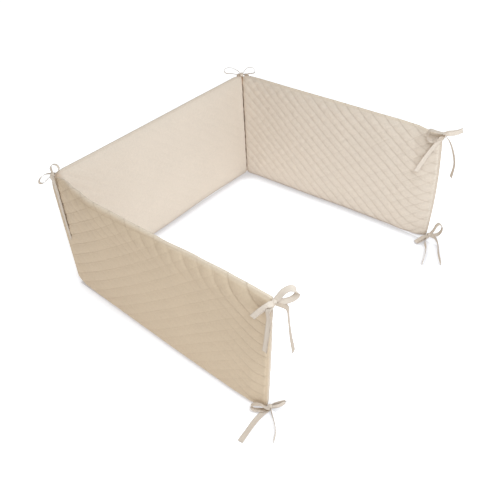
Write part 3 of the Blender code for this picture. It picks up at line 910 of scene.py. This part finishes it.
def mottling_group():
    """Uneven dye and pile: a slow drift and a fine grain, both around 1."""
    nodes, given, results = new_group(
        "Cloth mottling",
        {"Vector": None, "Drift Scale": 14.0, "Grain Scale": 420.0, "Drift": 0.06, "Grain": 0.10},
        ("Tone", "Height"))
    drift = nodes.noise(given["Vector"], given["Drift Scale"], 3.0, 0.5)
    grain = nodes.noise(given["Vector"], given["Grain Scale"], 3.0, 0.7)
    tone = 1.0
    for noise, label in ((drift, "Drift"), (grain, "Grain")):
        around_zero = nodes.math("SUBTRACT", noise, 0.5)
        tone = nodes.math("ADD", tone, nodes.math("MULTIPLY", around_zero, given[label]))
    nodes.give(results, {"Tone": tone, "Height": grain})
    return nodes.tree


PUCKER_STRETCH = (1.3, 5.0, 1.0)    # puckers to a spacing of the deep lines, and of the shallow
SHADE_FALL, GROOVE_RISE = 1.5, 0.6  # how steeply shade and groove change away from a line


def sewn_lines_group():
    """Both families of sewn lines: a soft shade and a groove at each line, and puckers in the cloth."""
    nodes, given, results = new_group(
        "Sewn lines",
        {"Phases": None, "Shade Width": 0.10, "Deep Share": 1.0, "Shallow Share": 0.3},
        ("Shade", "Height", "Pucker"))
    phases = nodes.add("ShaderNodeSeparateXYZ", {0: given["Phases"]})
    shades, heights = [], []
    for phase, label in zip(phases, ("Deep Share", "Shallow Share")):
        turned = nodes.math("FRACT", nodes.math("ADD", phase, 0.5))
        distance = nodes.math("ABSOLUTE", nodes.math("SUBTRACT", turned, 0.5))
        near = nodes.math("DIVIDE", distance, given["Shade Width"])
        shade = nodes.math("POWER", nodes.math("SUBTRACT", 1.0, near, clamp=True), SHADE_FALL)
        groove = nodes.math("POWER", near, GROOVE_RISE, clamp=True)
        shades.append(nodes.math("MULTIPLY", shade, given[label]))
        heights.append(nodes.math("MULTIPLY", groove, given[label]))
    stretched = nodes.add("ShaderNodeVectorMath", {0: given["Phases"], 1: PUCKER_STRETCH},
                          operation="MULTIPLY")[0]
    nodes.give(results, {"Shade": nodes.math("MAXIMUM", *shades), "Height": nodes.math("ADD", *heights),
                         "Pucker": nodes.noise(stretched, 1.0, 2.0, 0.6)})
    return nodes.tree


def new_material(name, finish):
    """A new material, its node tree, and the sockets of its shader."""
    material = bpy.data.materials.new(name)
    material.use_nodes = True
    nodes = NodeTree(material.node_tree)
    sockets = material.node_tree.nodes["Principled BSDF"].inputs
    nodes.give(sockets, finish)
    return material, nodes, sockets


PLUSH_FINISH = {"Roughness": 0.92, "Sheen Weight": 0.18, "Sheen Roughness": 0.45,
                "Sheen Tint": (1.0, 0.95, 0.88, 1.0), "Specular IOR Level": 0.25}
PLUSH_MOTTLING = {"Drift Scale": 9.0, "Grain Scale": 250.0, "Drift": 0.07, "Grain": 0.20}
# Painted light along the side pads' top edge: its strength and its colour.
RIM_PAINTED_LIGHT, RIM_PAINTED_LIGHT_COLOUR = 0.6, (0.80, 0.69, 0.55, 1.0)
# Strength of the painted shade in the sewn lines and in the seams.
LINE_SHADE, SEAM_SHADE = 0.2, 0.4
# Painted shade, brown, deep in the crevices of the corner folds.
CREVICE_PAINTED_SHADE = (0.95, 0.70, 0.45, 1.0)
PUCKER_HEIGHT, GRAIN_HEIGHT, PLUSH_BUMP = 1.3, 0.6, 0.8 * MM

TAPE_FINISH = {"Roughness": 0.85, "Sheen Weight": 0.2, "Sheen Roughness": 0.5,
               "Sheen Tint": (1.0, 0.98, 0.95, 1.0), "Specular IOR Level": 0.25}
TAPE_MOTTLING = {"Drift Scale": 30.0, "Grain Scale": 900.0, "Drift": 0.05, "Grain": 0.08}
# Colour of the painted shade on the ribbons.
TAPE_PAINTED_SHADE = (0.50, 0.40, 0.30, 1.0)
THREADS_PER_METRE, THREAD_RELIEF, THREAD_BUMP = 2200.0, 0.35, 0.2 * MM


def mottled(nodes, groups, values, colour):
    """A colour with the cloth's mottling on it, and the mottling's height."""
    place = nodes.object_place()
    mottling = nodes.add("ShaderNodeGroup", {"Vector": place, **values}, node_tree=groups["mottling"])
    tone = nodes.colour(*[mottling["Tone"]] * 3)
    return nodes.mix_colour(1.0, colour, tone, "MULTIPLY"), mottling["Height"]


def plush_material(groups, colours):
    """Short sand-coloured plush, quilted: painted shade, darker and warmer, in the sewn lines and seams."""
    material, nodes, sockets = new_material("quilted_plush", PLUSH_FINISH)
    deep_line = nodes.attribute("deep_line")
    lines = nodes.add("ShaderNodeGroup", {"Phases": nodes.uv_map("quilting"), "Deep Share": deep_line,
                                          "Shallow Share": nodes.attribute("shallow_line")},
                      node_tree=groups["sewn"])
    # Painted light: the faces inside the U take a paler, lit copy of the plush colour.
    colour = nodes.mix_colour(nodes.attribute("inside"), (*colours.plush, 1.0),
                              (*colours.plush_inside, 1.0))
    # Painted light along the top edge of the side pads.
    pale_rim = nodes.math("MULTIPLY", nodes.attribute("pale_rim"), RIM_PAINTED_LIGHT)
    colour = nodes.mix_colour(pale_rim, colour, RIM_PAINTED_LIGHT_COLOUR)
    # Painted shade in the sewn lines and seams, and where the pads part by the left corner.
    dark = nodes.math("MAXIMUM", nodes.math("MULTIPLY", lines["Shade"], LINE_SHADE),
                      nodes.math("MULTIPLY", nodes.attribute("seam"), SEAM_SHADE))
    colour = nodes.mix_colour(dark, colour, (*colours.plush_shade, 1.0), "MULTIPLY")
    # Painted shade deep in the corner folds' crevices.
    crevice = nodes.math("POWER", nodes.attribute("crevice"), 2.0)
    colour = nodes.mix_colour(crevice, colour, CREVICE_PAINTED_SHADE, "MULTIPLY")
    colour, grain = mottled(nodes, groups, PLUSH_MOTTLING, colour)
    pucker = nodes.math("MULTIPLY", nodes.math("MULTIPLY", lines["Pucker"], PUCKER_HEIGHT), deep_line)
    height = nodes.math("ADD", nodes.math("ADD", lines["Height"], pucker),
                        nodes.math("MULTIPLY", grain, GRAIN_HEIGHT))
    nodes.give(sockets, {"Base Color": colour, "Normal": nodes.bump(height, 1.0, PLUSH_BUMP)})
    return material


def tape_material(groups, colours):
    """Matt woven tape."""
    material, nodes, sockets = new_material("woven_tape", TAPE_FINISH)
    colour, _ = mottled(nodes, groups, TAPE_MOTTLING, (*colours.tape, 1.0))
    # Painted shade on the ribbons, from their shade attribute.
    colour = nodes.mix_colour(nodes.attribute("shade"), colour, TAPE_PAINTED_SHADE, "MULTIPLY")
    threads = nodes.add("ShaderNodeTexChecker", {"Vector": nodes.uv_map("weave"),
                                                 "Scale": THREADS_PER_METRE})["Fac"]
    nodes.give(sockets, {"Base Color": colour, "Normal": nodes.bump(threads, THREAD_RELIEF, THREAD_BUMP)})
    return material


def get_material(name):
    """A material of the bumper, made with its node groups at its first use."""
    material = bpy.data.materials.get(name)
    if material is None:
        groups = {"mottling": bpy.data.node_groups.get("Cloth mottling") or mottling_group(),
                  "sewn": bpy.data.node_groups.get("Sewn lines") or sewn_lines_group()}
        make = {"quilted_plush": plush_material, "woven_tape": tape_material}[name]
        material = make(groups, bpy.context.scene.crib_bumper_colours)
    return material


# ---- Stage ----
CAMERA_PLACE = Vector((-0.9056, -1.0805, 1.040))
CAMERA_HEADING = math.atan2(0.6664, 0.7456)
CAMERA_PITCH = math.radians(39.6)
CAMERA_ROLL = math.radians(-2.35)
CAMERA_FOCUS = 650.0        # focal length in pixels of the 500-pixel picture
PICTURE_SIDE = 500.0
SENSOR = 36.0

FLOOR_HALF_SIDE = 6.0
FLOOR_DROP = 0.4 * MM       # keeps the floor just clear of the feet
FLOOR_FINISH = {"Roughness": 0.9, "Specular IOR Level": 0.1, "Emission Strength": 1.0}
FLOOR_GLOW = (0.57, 0.60, 0.65, 1.0)
SHADOW_REACH = 0.042        # the soft shadow along the feet
SHADOW_INSIDE_X = (-0.312, 0.335)  # inside the U the light is cut off more
OUTER_SHADOW, EXTRA_INSIDE, DEEPEST_SHADOW = 0.5, 0.45, 0.5
SHADOW_TINT = (1.0, 1.05, 1.08)

KEY_PLACE, KEY_TARGET = Vector((-0.4, -1.25, 1.45)), Vector((0.05, -0.15, 0.12))
KEY_SIDE, KEY_POWER, KEY_COLOUR = 0.7, 19.5, (0.78, 0.89, 1.0)
WORLD_COLOUR, WORLD_STRENGTH = (1.0, 0.95, 0.87, 1.0), 0.50


def add_camera():
    """The photograph's viewing angle."""
    forward = Vector((math.cos(CAMERA_HEADING) * math.cos(CAMERA_PITCH),
                      math.sin(CAMERA_HEADING) * math.cos(CAMERA_PITCH), -math.sin(CAMERA_PITCH)))
    right = Vector((math.sin(CAMERA_HEADING), -math.cos(CAMERA_HEADING), 0.0))
    up = right.cross(forward)
    right_turned = right * math.cos(CAMERA_ROLL) + up * math.sin(CAMERA_ROLL)
    up_turned = up * math.cos(CAMERA_ROLL) - right * math.sin(CAMERA_ROLL)
    camera = new_object("camera", bpy.data.cameras.new("camera"))
    camera.data.sensor_width = SENSOR
    camera.data.lens = CAMERA_FOCUS * SENSOR / PICTURE_SIDE
    turn = Matrix((right_turned, up_turned, -forward)).transposed().to_4x4()
    camera.matrix_world = Matrix.Translation(CAMERA_PLACE) @ turn
    bpy.context.scene.camera = camera


def add_softbox():
    """The square light in front of the bumper and above it."""
    light = new_object("key_softbox", bpy.data.lights.new("key_softbox", "AREA"))
    light.data.shape = "RECTANGLE"
    light.data.size, light.data.size_y = KEY_SIDE, KEY_SIDE
    light.data.energy = KEY_POWER
    light.data.color = KEY_COLOUR
    light.location = KEY_PLACE
    light.rotation_mode = "QUATERNION"
    light.rotation_quaternion = (KEY_TARGET - KEY_PLACE).to_track_quat("-Z", "Y")


def floor_light(nodes):
    """Share of the light on each spot of the floor: less where the pads stand close."""
    openness = nodes.add("ShaderNodeAmbientOcclusion", {"Distance": SHADOW_REACH}, samples=8)["AO"]
    place = nodes.add("ShaderNodeSeparateXYZ", {0: nodes.object_place()})
    past_left = nodes.math("GREATER_THAN", place["X"], SHADOW_INSIDE_X[0])
    before_right = nodes.math("LESS_THAN", place["X"], SHADOW_INSIDE_X[1])
    before_middle = nodes.math("LESS_THAN", place["Y"], 0.0)
    enclosed = nodes.math("MULTIPLY", nodes.math("MULTIPLY", past_left, before_right), before_middle)
    depth = nodes.math("MULTIPLY_ADD", enclosed, EXTRA_INSIDE, OUTER_SHADOW)
    closed = nodes.math("MULTIPLY", nodes.math("SUBTRACT", 1.0, openness), depth)
    closed = nodes.math("MINIMUM", closed, DEEPEST_SHADOW)
    return nodes.colour(*[nodes.math("SUBTRACT", 1.0, nodes.math("MULTIPLY", closed, tint))
                          for tint in SHADOW_TINT])


def add_floor(colour):
    """A plain floor that glows a little, up to the photograph's white."""
    mesh = bpy.data.meshes.new("floor")
    side = FLOOR_HALF_SIDE
    mesh.from_pydata([(-side, -side, 0), (side, -side, 0), (side, side, 0), (-side, side, 0)], [],
                     [(0, 1, 2, 3)])
    material, nodes, sockets = new_material("floor", FLOOR_FINISH)
    # Painted shadow: the floor's colour and glow are darkened near the pads' feet, more inside the U.
    light = floor_light(nodes)
    nodes.give(sockets, {"Base Color": nodes.mix_colour(1.0, (*colour, 1.0), light, "MULTIPLY"),
                         "Emission Color": nodes.mix_colour(1.0, FLOOR_GLOW, light, "MULTIPLY")})
    mesh.materials.append(material)
    floor = new_object("floor", mesh)
    floor.location = (0.0, 0.0, -FLOOR_DROP)


def light_world():
    """Even light from all round."""
    world = bpy.data.worlds.new("studio")
    world.use_nodes = True
    background = world.node_tree.nodes["Background"]
    background.inputs["Color"].default_value = WORLD_COLOUR
    background.inputs["Strength"].default_value = WORLD_STRENGTH
    bpy.context.scene.world = world


# ---- Settings, operators and panel ----
class CribBumperQuilting(bpy.types.PropertyGroup):
    """Sizes of the quilting."""

    diamond_width: FloatProperty(
        name="Diamond Width", description="Distance between the points of a diamond, along the strip",
        default=0.0354, min=0.01, max=0.1, unit="LENGTH")
    diamond_height: FloatProperty(
        name="Diamond Height", description="Distance between the points of a diamond, up the strip",
        default=0.028, min=0.01, max=0.1, unit="LENGTH")
    deep_groove: FloatProperty(
        name="Deep Groove", description="Depth of the sewn lines that show most",
        default=0.0014, min=0.0, max=0.005, unit="LENGTH")
    shallow_groove: FloatProperty(
        name="Shallow Groove", description="Depth of the sewn lines that cross them",
        default=0.0005, min=0.0, max=0.005, unit="LENGTH")


class CribBumperRibbons(bpy.types.PropertyGroup):
    """Sizes of the ties' ribbon."""

    tape_width: FloatProperty(
        name="Tape Width", description="Width of the woven tape",
        default=0.011, min=0.004, max=0.03, unit="LENGTH")
    tape_thickness: FloatProperty(
        name="Tape Thickness", description="Thickness of the woven tape",
        default=0.0008, min=0.0003, max=0.003, unit="LENGTH")


class CribBumperColours(bpy.types.PropertyGroup):
    """Colours of the cloth and the stage."""

    plush: FloatVectorProperty(
        name="Plush", description="Colour of the plush", subtype="COLOR", size=3,
        default=(0.625, 0.495, 0.353), min=0.0, max=1.0)
    # Painted light: a paler, lit copy of the plush for the faces inside the U.
    plush_inside: FloatVectorProperty(
        name="Plush Inside", description="Colour of the plush on the faces inside the U",
        subtype="COLOR", size=3, default=(0.688, 0.592, 0.493), min=0.0, max=1.0)
    # Painted shade: the colour that the plush is multiplied by in its sewn lines and seams.
    plush_shade: FloatVectorProperty(
        name="Plush Shade", description="Tint of the plush in its sewn lines and seams",
        subtype="COLOR", size=3, default=(0.66, 0.58, 0.50), min=0.0, max=1.0)
    tape: FloatVectorProperty(
        name="Tape", description="Colour of the ribbon ties", subtype="COLOR", size=3,
        default=(0.68, 0.585, 0.49), min=0.0, max=1.0)
    floor: FloatVectorProperty(
        name="Floor", description="Colour of the floor", subtype="COLOR", size=3,
        default=(0.9, 0.9, 0.9), min=0.0, max=1.0)


class CRIBBUMPER_OT_quilted_pad(bpy.types.Operator):
    """Build one quilted pad on the place of its section"""

    bl_idname = "cribbumper.quilted_pad"
    bl_label = "Quilted Pad"
    pad: StringProperty(name="Pad", description="Name of the pad to build", default="quilted_middle")

    def execute(self, context):
        build_pad(PADS[self.pad], get_material("quilted_plush"), context.scene.crib_bumper_quilting)
        return {"FINISHED"}


class CRIBBUMPER_OT_bow(bpy.types.Operator):
    """Tie one ribbon in a bow on the place of its tie"""

    bl_idname = "cribbumper.bow"
    bl_label = "Bow"
    tie: StringProperty(name="Tie", description="Name of the tie to build", default="front_top")

    def execute(self, context):
        build_tie(self.tie, get_material("woven_tape"), context.scene.crib_bumper_ribbons)
        return {"FINISHED"}


class CRIBBUMPER_OT_stage(bpy.types.Operator):
    """Add the floor, the soft studio light and the camera"""

    bl_idname = "cribbumper.stage"
    bl_label = "Stage"

    def execute(self, context):
        add_floor(context.scene.crib_bumper_colours.floor)
        light_world()
        add_softbox()
        add_camera()
        context.scene.view_settings.view_transform = "Standard"
        return {"FINISHED"}


class CRIBBUMPER_PT_panel(bpy.types.Panel):
    """Lists the sizes, the colours and the pieces."""

    bl_idname = "CRIBBUMPER_PT_panel"
    bl_label = "Crib Bumper"
    bl_space_type = "VIEW_3D"
    bl_region_type = "UI"
    bl_category = "Crib Bumper"

    def draw(self, context):
        layout = self.layout
        for group in SETTINGS:
            settings = getattr(context.scene, group)
            box = layout.box()
            for name in settings.__annotations__:
                box.prop(settings, name)
        for name in PADS:
            layout.operator(CRIBBUMPER_OT_quilted_pad.bl_idname, text=name).pad = name
        for name in TIES:
            layout.operator(CRIBBUMPER_OT_bow.bl_idname, text=name).tie = name
        layout.operator(CRIBBUMPER_OT_stage.bl_idname)


SETTINGS = {
    "crib_bumper_quilting": CribBumperQuilting,
    "crib_bumper_ribbons": CribBumperRibbons,
    "crib_bumper_colours": CribBumperColours,
}
CLASSES = (*SETTINGS.values(), CRIBBUMPER_OT_quilted_pad, CRIBBUMPER_OT_bow, CRIBBUMPER_OT_stage,
           CRIBBUMPER_PT_panel)


def register():
    for cls in CLASSES:
        bpy.utils.register_class(cls)
    for name, group in SETTINGS.items():
        setattr(bpy.types.Scene, name, PointerProperty(type=group))


def unregister():
    for name in SETTINGS:
        delattr(bpy.types.Scene, name)
    for cls in reversed(CLASSES):
        bpy.utils.unregister_class(cls)


def main():
    register()
    bpy.ops.cribbumper.stage()
    for name in PADS:
        bpy.ops.cribbumper.quilted_pad(pad=name)
    for name in TIES:
        bpy.ops.cribbumper.bow(tie=name)


if __name__ == "__main__":
    main()
